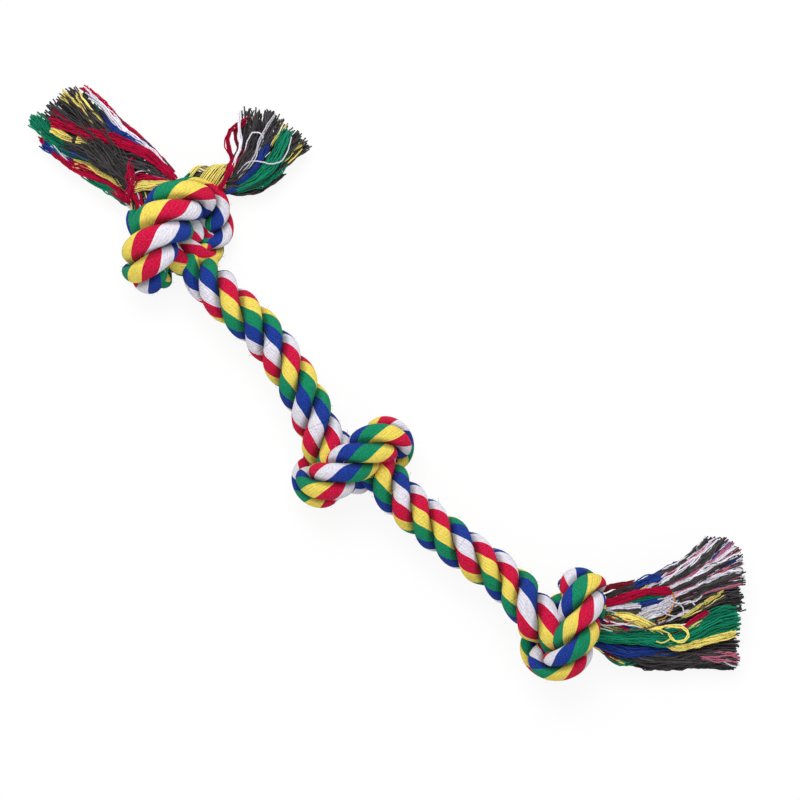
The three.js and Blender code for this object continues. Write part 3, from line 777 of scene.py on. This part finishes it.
# Locks of yarn: colour, yarns, half widths at root and tip, heights of root, middle and tip, and the path
# over the floor from the tassel's bend
leftLongLocks = [
    ("dark", 46, 4.5, 9.5, (17, 19, 16),
     [(11.5, 3), (-1, 2.5), (-18, 7), (-34.5, 12.5), (-49, 14), (-61.5, 14.5)]),
    ("dark", 24, 2.5, 5, (18, 20, 19),
     [(11.5, 3), (-3, 3.5), (-25, 13.5), (-39, 15.5), (-52, 18.5), (-57.5, 20)]),
    ("dark", 30, 3.5, 5.5, (14, 17, 13),
     [(11.5, 3), (-0.5, 1.5), (-15, 3), (-29, 3), (-39.5, 2.5), (-49, 1)]),
    ("dark", 34, 4, 7, (8, 9, 6), [(11.5, 3), (1.5, 0.5), (-17.5, 2.5), (-36.5, 5), (-53, 5.5), (-65.5, 6)]),
    ("white", 10, 0.9, 1.2, (24, 21, 17),
     [(10, 17.5), (-2.5, 19.5), (-14.5, 21), (-28.5, 21.5), (-42, 24.5), (-53.5, 26)]),
    ("dark", 5, 0.4, 0.5, (23, 19, 15), [(6.5, 19), (-12, 22.5), (-24.5, 23.5), (-39.5, 25), (-53, 26.5)]),
    ("red", 6, 0.6, 1.4, (22, 19, 16), [(8, 19), (-10.5, 22.5), (-26.5, 23.5), (-44.5, 26.5), (-55.5, 26.5)]),
    ("pink", 5, 0.5, 1.2, (21, 18, 15), [(6, 18.5), (-13.5, 21.5), (-32, 23), (-49, 25.5), (-54.5, 27.5)]),
    ("blue", 13, 1.2, 1.8, (21, 22, 18), [(3, 17.5), (-12.5, 20), (-22, 19), (-32.5, 18.5), (-40.5, 20.5)]),
    ("yellow", 4, 0.5, 0.6, (16, 22, 20),
     [(-25.5, 15.5), (-34.5, 17.5), (-46, 20), (-55.5, 23), (-56.5, 23.5)]),
    ("yellow", 4, 0.5, 0.6, (16, 22, 20), [(-25, 13.5), (-35.5, 14), (-45.5, 17), (-55, 22), (-56.5, 23.5)]),
    ("yellow", 8, 0.8, 2.2, (16, 20, 18), [(-25, 13.5), (-41, 15), (-53, 16.5), (-62, 17)]),
    ("red", 26, 1.5, 2.4, (25, 22, 18),
     [(11, 16), (1.5, 17.5), (-12, 17.5), (-26.5, 14), (-42.5, 8.5), (-58, 4)]),
    ("red", 7, 0.6, 0.9, (16, 21, 19), [(-31.5, 12), (-40, 10.5), (-50, 8.5), (-59.5, 8.5)]),
    ("red", 6, 0.6, 0.8, (16, 21, 19), [(-26.5, 13.5), (-37, 14.5), (-45.5, 16), (-51.5, 17.5)]),
    ("red", 9, 1, 1, (23, 23, 21), [(12, 14), (5.5, 12), (0, 9.5), (-6.5, 5)]),
    ("dark", 22, 2.6, 3, (22, 23, 19), [(9.5, 15.5), (0, 14.5), (-9, 12), (-17.5, 9.5), (-26, 6.5)]),
    ("yellow", 9, 1, 1.5, (15, 19, 18), [(-30.5, 7), (-37.5, 5), (-43, 3)]),
    ("yellow", 9, 1.2, 1.6, (14, 18, 17), [(-41, 3), (-48.5, 1), (-55.5, 0.5)]),
    ("dark", 26, 2.6, 3.2, (18, 20, 15),
     [(11.5, 3), (-3, 3.5), (-14.5, 2.5), (-24, 1.5), (-34.5, 2.5), (-44.5, 1)]),
    ("green", 12, 1.2, 1.8, (15, 19, 16), [(11.5, 3), (-6, 6), (-16.5, 8.5), (-27, 2.5), (-33, 0)]),
    ("green", 20, 1.8, 2.6, (11, 14, 11),
     [(11.5, 3), (-6, 1), (-25.5, 0.5), (-42, -0.5), (-55.5, -1), (-68.5, 0)]),
    ("green", 12, 1.2, 2.6, (10, 12, 10),
     [(-15, -0.5), (-34, -2), (-44.5, -4.5), (-58.5, -3.5), (-68.5, -2.5)]),
    ("white", 8, 0.8, 1.2, (9, 11, 9), [(-15, -0.5), (-31.5, -3.5), (-41.5, -6.5), (-53, -6.5)]),
    ("blue", 14, 1.2, 2, (9, 11, 9), [(-10, -0.5), (-27, -4.5), (-41, -7), (-56, -8)]),
    ("blue", 8, 0.9, 1.3, (15, 18, 14), [(11.5, 3), (-7.5, 2.5), (-22, 2), (-33.5, -1), (-43, -4)]),
    ("red", 20, 1.7, 2, (12, 14, 6),
     [(11.5, 3), (5, -1), (-6.5, -2), (-18.5, -4), (-29, -7), (-38.5, -8.5), (-49.5, -7), (-60, -5)]),
    ("yellow", 12, 1, 1.5, (13, 15, 11),
     [(11.5, 3), (2, -0.5), (-11.5, -1.5), (-24, -3.5), (-34.5, -6), (-38.5, -7.5)]),
    ("green", 16, 1.6, 2.2, (12, 13, 5),
     [(11.5, 3), (6, -2.5), (-3.5, -4.5), (-12.5, -6), (-23, -7.5), (-33, -6.5), (-43.5, -5.5)]),
    ("red", 10, 1, 1.5, (14, 15, 6),
     [(11.5, 3), (7.5, -1), (1, -5.5), (-6.5, -7), (-16.5, -6.5), (-27.5, -5.5)]),
    ("white", 6, 0.8, 1, (10, 10, 5), [(11.5, 3), (10, -1), (4, -6), (-4, -7), (-14.5, -6.5), (-25, -5.5)]),
    ("yellow", 20, 2.4, 2.2, (22, 23, 20), [(11.5, 14.5), (5.5, 9), (-1, 4), (-5, -0.5)]),
    ("pink", 8, 1, 1, (23, 23, 21), [(11, 16), (6.5, 14.5), (2, 12), (-2.5, 9.5)]),
    ("white", 1, 0.3, 0.4, (20, 24, 22), [(-7, 1), (-8, 5.5), (-5.5, 10.5), (-1, 12), (5.5, 13)]),
    ("green", 10, 1.2, 1.8, (13, 13, 5), [(10, -6), (-3, -7), (-16.5, -7.5), (-29, -6.5), (-41, -5.5)]),
    ("white", 7, 0.8, 1, (14, 12, 5), [(11, -7.5), (2, -8), (-7.5, -7.5), (-18.5, -6), (-29, -5)]),
    ("red", 12, 1.1, 1.3, (15, 14, 5), [(9.5, -5.5), (0, -6), (-9.5, -6), (-22, -6), (-33.5, -6)]),
    ("dark", 14, 1.4, 1.6, (12, 11, 5),
     [(10.5, -6.5), (1, -7.5), (-8.5, -7.5), (-20.5, -6.5), (-32.5, -5.5)]),
    ("red", 12, 1.2, 1.2, (20, 22, 18), [(7.5, -4), (1, -3.5), (-4.5, -1.5), (-6, 3.5)]),
    ("red", 5, 1.2, 1.5, (20, 25, 20), [(-12.5, 16.5), (-12, 8), (-5, 4.5), (-5, -3), (0, -5.5)]),
    ("red", 5, 1.2, 1.5, (20, 25, 20), [(-15, 13), (-9.5, 9.5), (-9, 2.5), (-3, -0.5), (-3, -7)]),
    ("blue", 14, 2, 4, (14, 8, 4), [(11.5, 3), (2, -0.5), (-12, -1), (-32.5, 1.5), (-49.5, 4)]),
    ("green", 14, 2, 4, (14, 8, 4), [(11.5, 3), (2, 3), (-16, 11), (-34.5, 16), (-48.5, 20)]),
    ("white", 10, 1.5, 3, (14, 8, 4), [(11.5, 3), (1.5, 4), (-15.5, 14), (-30, 18.5), (-43.5, 22)]),
    ("red", 12, 2, 4, (14, 8, 4), [(11.5, 3), (2.5, 1), (-18.5, 4.5), (-39, 7), (-56.5, 7.5)]),
    ("yellow", 12, 2, 4, (14, 8, 4), [(11.5, 3), (4.5, 0), (-9.5, -1.5), (-24, -2), (-38.5, -2.5)]),
]
leftShortLocks = [
    ("yellow", 8, 2.5, 2.5, (12, 13, 12), [(-8, -17), (-6, -10), (-1, -4.5), (4, 0)]),
    ("dark", 30, 3.4, 5, (14.5, 16, 16), [(-8, -12.5), (-5, -9), (1, -3.5), (9, 4)]),
    ("green", 5, 0.8, 0.6, (14, 15, 13), [(-11.5, -13.5), (-11, -10.5), (-10.5, -8), (-9.5, -6)]),
    ("red", 14, 1.2, 0.9, (16, 22, 19), [(6.5, -11), (6, -2), (4.5, 5), (3, 9.5)]),
    ("red", 8, 0.8, 0.8, (15, 21, 17), [(7, -8.5), (5.5, 3.5), (4.5, 13), (4.5, 20.5)]),
    ("red", 7, 0.8, 0.8, (19, 22, 17),
     [(5.5, 1), (4, 8), (-1, 11.5), (-5, 15), (-6.5, 20.5), (-5, 24.5), (-3, 30.5)]),
    ("red", 8, 0.8, 1.2, (14, 16, 12), [(7.5, -6), (5, 9.5), (1, 18), (-1.5, 27)]),
    ("maroon", 6, 0.5, 0.7, (17, 20, 16),
     [(5, 7), (4.5, 13.5), (-1.5, 17.5), (-4.5, 22), (-4, 28.5), (-2.5, 32.5)]),
    ("dark", 44, 2, 7.6, (15, 18, 13), [(7.5, -6), (8, 8.5), (6.5, 22), (-1, 37)]),
    ("dark", 26, 2.6, 5, (16, 18, 14), [(6, -4.5), (10, 7.5), (10.5, 22), (8, 39)]),
    ("dark", 36, 3.2, 6, (13, 15, 10), [(6, -5.5), (15, 6), (20, 20.5), (24, 38.5)]),
    ("dark", 20, 2, 2.6, (9, 9, 7), [(6.5, -6.5), (15.5, 0), (22, 8), (24.5, 19.5)]),
    ("blue", 14, 1, 1.4, (15, 20, 16), [(9.5, -2), (14, 7.5), (14, 18.5), (8, 32.5)]),
    ("blue", 12, 1.4, 1.4, (15, 15, 10), [(9, -6), (12.5, -1), (16, 4.5), (18, 11.5), (18.5, 18)]),
    ("green", 24, 1.8, 2.6, (14, 20, 15), [(11.5, -3), (18, 8), (20, 18), (18.5, 28), (16, 37.5)]),
    ("green", 12, 1.2, 1.8, (12, 16, 12), [(13.5, -2.5), (22, 8.5), (25, 19), (22, 33.5)]),
    ("yellow", 5, 0.5, 1.4, (14, 18, 15), [(14.5, 15), (14, 27.5), (13, 39.5)]),
    ("yellow", 7, 0.7, 1.2, (12, 16, 12), [(21, 11.5), (25, 23), (26, 31), (26.5, 37.5)]),
    ("white", 1, 0.2, 0.3, (15, 23, 17),
     [(8.5, -5.5), (9, 5.5), (11.5, 14), (22, 19.5), (23.5, 27), (19.5, 37)]),
    ("white", 2, 0.5, 0.9, (15, 23, 17), [(9.5, -5), (11, 6.5), (12, 15), (8, 26.5), (6.5, 39.5)]),
    ("white", 5, 0.8, 1, (17, 23, 20), [(8, -3), (4, 9.5), (2.5, 16.5), (-4, 24), (-9, 31)]),
    ("white", 1, 0.2, 0.3, (16, 22, 19), [(9.5, 3), (5.5, 15), (3, 26.5), (9, 27.5), (11.5, 17)]),
    ("pink", 3, 0.4, 0.8, (14, 18, 14), [(10, 1), (6.5, 15.5), (2, 27), (-1.5, 33.5)]),
]
rightLocks = [
    ("maroon", 16, 1.2, 1.4, (20, 21, 18), [(-18.5, 4.5), (-12.5, 13.5), (-7.5, 17.5), (-3.5, 22)]),
    ("dark", 12, 1.2, 1.4, (20, 21, 18), [(-12.5, 7), (-8.5, 13.5), (-4.5, 19), (-0.5, 25)]),
    ("blue", 20, 1.6, 1.8, (18, 22, 18), [(-7.5, 11.5), (-4, 18.5), (-1.5, 25), (3.5, 32), (8, 43)]),
    ("yellow", 7, 0.6, 0.7, (19, 23, 19), [(0, 19), (0.5, 23.5), (1, 28), (2.5, 31)]),
    ("white", 6, 0.5, 0.6, (19, 23, 19), [(1.5, 20), (2, 24.5), (3, 29), (4, 32.5)]),
    ("red", 26, 1.7, 1.1, (22, 24, 21), [(-15, 0.5), (-5.5, 11), (0, 19), (6.5, 25), (12.5, 29)]),
    ("red", 8, 0.7, 0.7, (18, 22, 21), [(4.5, 18), (8, 22.5), (11, 26), (12.5, 29)]),
    ("orange", 1, 0.2, 0.2, (21, 24, 20), [(12, 28.5), (16, 26), (17.5, 21), (17.5, 16.5), (14, 11)]),
    ("yellow", 1, 0.2, 0.2, (24, 27, 24), [(12.5, 6), (19.5, 10), (25.5, 10.5), (23.5, 5), (18, 3)]),
    ("white", 1, 0.2, 0.2, (23, 26, 23), [(13.5, 18), (20, 19), (23.5, 24), (19, 26), (17, 22)]),
    ("white", 1, 0.2, 0.2, (23, 26, 24), [(13.5, 24.5), (19, 25.5), (22.5, 30.5), (26.5, 29)]),
    ("dark", 1, 0.2, 0.2, (24, 26, 23), [(-5.5, -3.5), (3, -2), (10, 4), (16, 10.5), (20, 18)]),
    ("green", 16, 1.2, 1.2, (19, 21, 20), [(-10, 3.5), (0, 13.5), (4.5, 19), (11, 25)]),
    ("blue", 12, 1, 1, (19, 21, 20), [(-8, 2.5), (3, 13.5), (7, 19), (12.5, 24)]),
    ("white", 10, 0.9, 0.9, (22, 23, 20), [(-9, 1.5), (-5, 6.5), (0, 10.5), (4.5, 14.5)]),
    ("dark", 12, 1.1, 1.1, (22, 22, 19), [(-8.5, 0.5), (-3.5, 5), (2, 8.5), (7, 13.5)]),
    ("white", 40, 3.4, 3.2, (18, 21, 18), [(5, 5.5), (8.5, 11.5), (11.5, 17.5), (15.5, 24), (17.5, 29.5)]),
    ("dark", 10, 1, 1, (17, 22, 19), [(15, 14.5), (17.5, 22.5), (20.5, 30), (23, 36)]),
    ("white", 4, 0.5, 0.6, (18, 23, 19), [(14, 9), (19, 15), (22.5, 21), (25, 26), (27.5, 24)]),
    ("yellow", 26, 2.2, 2, (22, 23, 20),
     [(-11.5, -5), (-1.5, 3), (5, 6.5), (11, 7.5), (18, 7.5), (24.5, 6.5)]),
    ("yellow", 18, 1.3, 1.3, (20, 22, 17), [(5, 2.5), (15, 7), (24, 6.5), (31, 7), (39.5, 16.5), (50.5, 30)]),
    ("yellow", 3, 0.5, 0.6, (24, 28, 25),
     [(15, 7.5), (21.5, 14), (27, 17.5), (31, 16.5), (31, 11.5), (25.5, 9.5), (22.5, 12)]),
    ("green", 46, 3.6, 3.8, (21, 22, 17),
     [(-7, -11.5), (5.5, -4), (14.5, 2), (24.5, 7.5), (31.5, 16.5), (39, 30.5), (47, 39)]),
    ("green", 22, 1.8, 2.4, (17, 20, 15), [(20, 3), (33, 13), (40, 23.5), (50, 35.5)]),
    ("red", 10, 0.8, 1, (19, 23, 19), [(22, 6.5), (26.5, 13), (29, 20.5), (31.5, 27), (34.5, 32)]),
    ("yellow", 8, 0.7, 0.9, (19, 23, 19), [(25, 9), (29.5, 16.5), (32.5, 23.5), (34.5, 28.5)]),
    ("yellow", 7, 0.9, 1.4, (18, 22, 18), [(22, 15), (26.5, 25), (30, 34), (34.5, 44.5)]),
    ("dark", 6, 1, 1.4, (18, 22.5, 18), [(24, 18), (27.5, 26), (31.5, 34), (36.5, 43)]),
    ("dark", 44, 2.6, 5, (17, 18, 13), [(-10.5, -7), (2.5, 1), (13, 10), (23, 22), (32.5, 34.5), (44, 46.5)]),
    ("dark", 20, 1.6, 2.6, (16, 20, 15), [(18.5, 15.5), (24.5, 28.5), (30.5, 39.5), (39, 50)]),
    ("blue", 30, 2.4, 2.6, (18, 19, 15), [(-5, -14.5), (12, -9.5), (19, -4), (26, 3.5), (34.5, 8.5)]),
    ("maroon", 10, 1, 1, (18, 17, 13), [(-4, -15), (6, -15), (11, -14.5), (14, -13)]),
    ("yellow", 10, 1.1, 1.2, (17, 16, 12), [(-3, -16), (7.5, -15), (12.5, -14.5), (16.5, -13.5)]),
    ("green", 22, 1.8, 2, (16, 14, 10), [(-6, -13.5), (4, -15), (13.5, -14.5), (18.5, -10), (23.5, -5)]),
    ("dark", 60, 3, 5.2, (16, 15, 11), [(-6.5, -12.5), (7, -10.5), (22, -5), (34.5, 4), (46, 13), (59, 22)]),
    ("dark", 26, 2, 3, (14, 9, 6), [(-6, -13), (7, -13), (22.5, -9), (34.5, -1), (46.5, 9), (61.5, 18.5)]),
    ("pink", 12, 1.6, 2.6, (12, 15, 13), [(34.5, 4.5), (44.5, 12), (53, 17), (61, 21)]),
    ("white", 8, 1.4, 2.4, (12, 14, 12), [(38, 6), (47, 12.5), (55.5, 16), (62.5, 19)]),
    ("dark", 24, 2.4, 3.2, (16, 14, 9),
     [(-8.5, -10), (6.5, -5.5), (21, 1.5), (34, 11.5), (44, 21), (55, 29)]),
    ("blue", 16, 2.2, 5, (16, 8, 4), [(-12, -5), (-4, 4.5), (7.5, 20), (17.5, 38), (26, 53.5)]),
    ("green", 16, 2.2, 5, (16, 8, 4), [(-9.5, -8.5), (0.5, -2), (15, 10), (30.5, 26), (43.5, 40)]),
    ("red", 16, 2.2, 5, (15, 8, 4), [(-8.5, -10), (3.5, -6), (19.5, 4), (38, 15.5), (54, 25)]),
    ("white", 14, 2.2, 4, (16, 8, 4), [(-11, -6.5), (-2.5, 2), (11.5, 15), (24.5, 34), (34.5, 47)]),
    ("yellow", 14, 2.2, 4, (14, 8, 4), [(-7, -11.5), (5, -8), (23, -1), (39, 9), (52.5, 22)]),
]
# The fan on top of the right tassel: thin locks of mixed colours, laid between these paths
fan = {
    "places": (0, 0.3, 0.5, 0.78, 1),
    "paths": [
        [(-6.5, 13), (1, 29), (8, 44), (11, 60)],
        [(-1, 13.5), (7.5, 29.5), (15, 45), (20, 65.5)],
        [(3, 14.5), (12, 30), (19.5, 45.5), (27.5, 65)],
        [(8, 15), (17.5, 30.5), (24.5, 43.5), (35, 58.5)],
        [(12.5, 15.5), (22.5, 30.5), (29, 41.5), (39.5, 53)],
    ],
    "colours": [
        "white", "dark", "blue", "white", "dark", "pink", "white", "dark",
        "pink", "white", "dark", "maroon", "white", "dark", "pink", "dark",
    ],
    "yarns": {"white": 6, "dark": 7, "blue": 5, "pink": 4, "maroon": 4}, "locks": 54, "stray": 0.035,
    "widths": (0.5, 0.6), "lift": (17.0, 21.0, 17.0), "layers": 4, "layerSkip": 3, "layer": 0.5,
}
fanPaths = np.array(fan["paths"])
for index in range(fan["locks"]):
    path = []
    for point in fanPaths.transpose(1, 2, 0):
        share = index / (fan["locks"] - 1) + dice.normal(0, fan["stray"])
        path.append([np.interp(share, fan["places"], values) for values in point])
    raised = np.array(fan["lift"]) + index * fan["layerSkip"] % fan["layers"] * fan["layer"]
    colour = fan["colours"][index % len(fan["colours"])]
    rightLocks.append((colour, fan["yarns"][colour], *fan["widths"], raised, path))


def sway(distance, spread):
    length = dice.uniform(*yarn["waveLengths"])
    wave = np.sin(distance * 2 * math.pi / length + dice.uniform(0, yarn["waveStart"]))
    stray = spread * np.clip(dice.normal(0, 1), -yarn["swayLimit"], yarn["swayLimit"])
    return wave * stray * np.minimum(distance / yarn["calm"], 1)


def lockYarns(lock, knee):
    _, count, rootWidth, tipWidth, lift, path = lock
    plan = np.array([(x, y, 0.0) for x, y in path])
    plan[-1] += (plan[-1] - plan[-2]) * yarn["overshoot"]
    line = smoothed(evenSteps(plan, yarn["guideStep"]), yarn["guideSmoothing"])[:, :2] + knee[:2]
    share = np.linspace(0, 1, len(line))
    bow = smoothed(np.interp(share, (0, 0.5, 1), lift), yarn["bowSmoothing"])
    ahead = unit(np.gradient(line, axis=0))
    side = np.stack([-ahead[:, 1], ahead[:, 0]], 1)
    width = rootWidth + (tipWidth * yarn["spread"] - rootWidth) * share ** yarn["flare"]
    distance = np.arange(len(line)) * yarn["guideStep"]
    few = count < yarn["fewest"]
    yarns = []
    for _ in range(count if few else round(count * yarn["share"])):
        far = math.sqrt(dice.random())
        turn = dice.random() * 2 * math.pi + share * dice.normal(0, yarn["twist"])
        sideways = width * far * np.cos(turn)
        upwards = width * yarn["flatness"] * far * np.sin(turn)
        if not few:
            sideways = sideways + sway(distance, yarn["wander"])
            upwards = upwards + sway(distance, yarn["wander"] * yarn["riseShare"])
        points = np.column_stack([line + side * sideways[:, None], bow + upwards])
        first = int(dice.random() * yarn["rootRagged"] * len(line))
        last = int((1 - yarn["tipRagged"] + yarn["tipRagged"] * dice.random()) * len(line))
        points = points[first:max(last, first + yarn["shortest"])]
        points[:, 2] = np.maximum(points[:, 2], yarn["floor"])
        yarns.append(points[::yarn["guideEvery"]])
    return yarns


# The root of a tassel: mixed yarns that come out of the knot where its strands end
root = {
    "inside": 18, "outside": 26, "yarns": 12, "dark": 2, "width": 6.0, "spread": 12.0, "drop": 7.0,
    "smoothing": 6, "twist": 0.8, "flatness": 0.75, "ragged": 0.25,
}


def rootYarns(lead, out):
    flat = unit(np.array([out[0], out[1], 0.0]))
    side = np.array([-flat[1], flat[0], 0.0])
    reach = np.arange(1, root["outside"] + 1)
    beyond = lead[-1] + flat * reach[:, None]
    beyond[:, 2] -= root["drop"] * reach / root["outside"]
    core = smoothed(np.vstack([lead, beyond]), root["smoothing"])
    share = np.linspace(0, 1, len(core))
    width = root["width"] + (root["spread"] - root["width"]) * np.clip(share * 2 - 1, 0, 1)
    yarns = []
    for _ in range(root["yarns"]):
        far = math.sqrt(dice.random())
        turn = dice.random() * 2 * math.pi + share * dice.normal(0, root["twist"])
        points = core + side * (width * far * np.cos(turn))[:, None]
        points[:, 2] += width * root["flatness"] * far * np.sin(turn)
        points[:, 2] = np.maximum(points[:, 2], yarn["floor"])
        last = int((1 - root["ragged"] + root["ragged"] * dice.random()) * len(core))
        yarns.append(points[:last:yarn["guideEvery"]])
    return yarns


# Yarns wound slantwise round the neck of the short tassel, with the dark core showing between them
neck = {
    "axis": [(-9.5, -12.5, 13), (7, 2, 14)],
    "radius": (4.6, 6.3, 6.3), "radiusAt": (0, 0.25, 1), "yarns": 52, "points": 40, "fewestPoints": 5,
    "advance": 1.4, "uneven": 0.25, "jitter": 0.01, "crimp": 0.6,
    "gaps": [(0.06, 0.15), (0.18, 0.28), (0.62, 0.65)], "ends": (0.02, 0.93), "cut": 0.08,
}


def neckYarns(knee):
    axis = np.array(neck["axis"]) + (*knee[:2], 0.0)
    ahead = unit(axis[1] - axis[0])
    side = unit(np.cross((0.0, 0.0, 1.0), ahead))
    above = np.cross(ahead, side)
    yarns = []
    half = np.linspace(-0.5, 0.5, neck["points"])
    turn = math.pi / 2 - half * 2 * math.pi
    ring = side * np.cos(turn)[:, None] + above * np.sin(turn)[:, None]
    for place in np.linspace(-neck["advance"] / 2, 1 + neck["advance"] / 2, neck["yarns"]):
        share = place + neck["advance"] * half + dice.normal(0, neck["jitter"])
        wide = np.interp(share, neck["radiusAt"], neck["radius"]) + dice.normal(0, neck["uneven"])
        line = axis[0] + (axis[1] - axis[0]) * share[:, None] + ring * wide[:, None]
        slanted = share - neck["cut"] * np.cos(turn)
        line = line[(slanted > neck["ends"][0]) & (slanted < neck["ends"][1])]
        if len(line) >= neck["fewestPoints"] and not any(low < place < high for low, high in neck["gaps"]):
            yarns.append(line)
    return yarns


def guideMesh(name, yarns):
    points = np.vstack(yarns) * mm
    edges = []
    base = 0
    for line in yarns:
        edges += [(base + k, base + k + 1) for k in range(len(line) - 1)]
        base += len(line)
    mesh = bpy.data.meshes.new(name)
    mesh.from_pydata(points.tolist(), edges, [])
    return mesh


def leadIn(station, step):
    inside = [station + step * k for k in range(round(root["inside"] / rope["step"]), -1, -1)]
    return route[inside] + shift


shortPoint = tailLine[shortKnee] + shift
shortOut = unit(tailLine[0] - tailLine[shortKnee])
tassels = {
    "leftLong": {
        "node": "left_long_tassel", "knot": "left_knot", "locks": leftLongLocks,
        "knee": route[stations["leftTassel"]] + shift, "out": -along[stations["leftTassel"]],
        "lead": leadIn(stations["leftTassel"], 1),
    },
    "leftShort": {
        "node": "left_short_tassel", "knot": "left_knot", "locks": leftShortLocks,
        "knee": shortPoint, "out": shortOut, "lead": None,
    },
    "right": {
        "node": "right_tassel", "knot": "right_knot", "locks": rightLocks,
        "knee": route[stations["rightTassel"]] + shift, "out": along[stations["rightTassel"]],
        "lead": leadIn(stations["rightTassel"], -1),
    },
}
for seed, (name, tassel) in enumerate(tassels.items()):
    byColour = {}
    for lock in tassel["locks"]:
        byColour.setdefault(lock[0], []).extend(lockYarns(lock, tassel["knee"]))
    if tassel["lead"] is not None:
        for colour in bandOrder + ["dark"] * root["dark"]:
            byColour.setdefault(colour, []).extend(rootYarns(tassel["lead"], tassel["out"]))
    start = Vector((tassel["knee"] - tassel["out"] * yarn["bendInside"]) * mm)
    end = Vector((tassel["knee"] + tassel["out"] * yarn["bendOutside"]) * mm)
    bundles = [(colour, yarns, yarn["crimp"], colour.capitalize()) for colour, yarns in byColour.items()]
    if name == "leftShort":
        bundles.append(("yellow", neckYarns(tassel["knee"]), neck["crimp"], "Neck"))
    for colour, yarns, crimp, ending in bundles:
        pieceName = name + "Tassel" + ending
        values = {
            "Radius": yarn["radius"] * mm, "Step": yarn["step"] * mm, "Crimp": crimp * mm,
            "Crimp scale": yarn["crimpScale"], "Sides": yarn["sides"], "Seed": seed,
            "Cloth": yarnCotton[colour],
        }
        piece = grown(pieceName, guideMesh(pieceName, yarns), yarnGroup, values)
        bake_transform(piece)
        nodes = [node for node in frame["nodes"] if node.startswith(tassel["node"] + "_" + colour)]
        if nodes:
            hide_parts(*nodes)
        cottonSlot.get(colour, colour + "_cotton")
    print(name, "tassel:", sum(len(yarns) for yarns in byColour.values()), "yarns")


# Stage: pale floor, soft light and the camera straight above
stage = {
    "lightPower": 12.0, "lightSize": 0.9, "lightPlace": (-0.5, 0.5, 1.3), "worldStrength": 0.6,
    "floorHalf": 3, "floorWhite": 0.85, "floorGlow": 1.03, "paper": 0.9, "grain": 0.04, "grainScale": 40.0,
    "lens": 135, "sensor": 36, "cameraHeight": 1.524, "cameraTurn": 36,
}


# White where a camera, glossy or transmitted ray looks
def seenShare(surface):
    rays = surface.node("ShaderNodeLightPath").socket.node.outputs
    camera, glossy, transmitted = [
        Sock(surface.tree, rays[name]) for name in ("Is Camera Ray", "Is Glossy Ray", "Is Transmission Ray")
    ]
    return camera + glossy + transmitted


def stageFloor(user):
    mesh = bpy.data.meshes.new("stageFloor")
    half = user["floorHalf"]
    corners = [(-half, -half, 0), (half, -half, 0), (half, half, 0), (-half, half, 0)]
    mesh.from_pydata(corners, [], [(0, 1, 2, 3)])
    material, surface = newMaterial("stageWhite")
    place = surface.node("ShaderNodeTexCoord", out=3)
    pale = user["paper"] + place.noise(user["grainScale"]) * user["grain"]
    matte = surface.node("ShaderNodeBsdfDiffuse", {"Color": surface.vector(pale, pale, pale)})
    bright = surface.node("ShaderNodeEmission", {"Color": (1, 1, 1, 1), "Strength": user["floorGlow"]})
    seen = seenShare(surface) * user["floorWhite"]
    mixed = surface.node("ShaderNodeMixShader", {0: seen, 1: matte, 2: bright})
    surface.tree.links.new(mixed.socket, surface.socket)
    mesh.materials.append(material)
    made = addObject("stageFloor", mesh)


stageFloor(stage)
lamp = bpy.data.lights.new("softLamp", "AREA")
lamp.energy = stage["lightPower"]
lamp.size = stage["lightSize"]
lampObject = bpy.data.objects.new("softLamp", lamp)
lampObject.location = stage["lightPlace"]
lampObject.rotation_euler = (-lampObject.location).to_track_quat("-Z", "Y").to_euler()
bpy.context.scene.collection.objects.link(lampObject)
world = bpy.data.worlds.new("paleRoom")
world.use_nodes = True
sky = Sock(world.node_tree, world.node_tree.nodes["World Output"].inputs["Surface"])
air = sky.node("ShaderNodeBackground", {"Color": (1, 1, 1, 1), "Strength": stage["worldStrength"]})
backdrop = sky.node("ShaderNodeBackground", {"Color": (1, 1, 1, 1), "Strength": 1.0})
room = sky.node("ShaderNodeMixShader", {0: seenShare(sky), 1: air, 2: backdrop})
world.node_tree.links.new(room.socket, sky.socket)
bpy.context.scene.world = world

camera = bpy.data.cameras.new("camera")
camera.lens = stage["lens"]
camera.sensor_width = stage["sensor"]
cameraObject = bpy.data.objects.new("camera", camera)
cameraObject.location = (shift[0] * mm, shift[1] * mm, stage["cameraHeight"])
cameraObject.rotation_euler = (0, 0, math.radians(stage["cameraTurn"]))
bpy.context.scene.collection.objects.link(cameraObject)
bpy.context.scene.camera = cameraObject
bpy.context.scene.view_settings.view_transform = "Standard"
print("stage set")
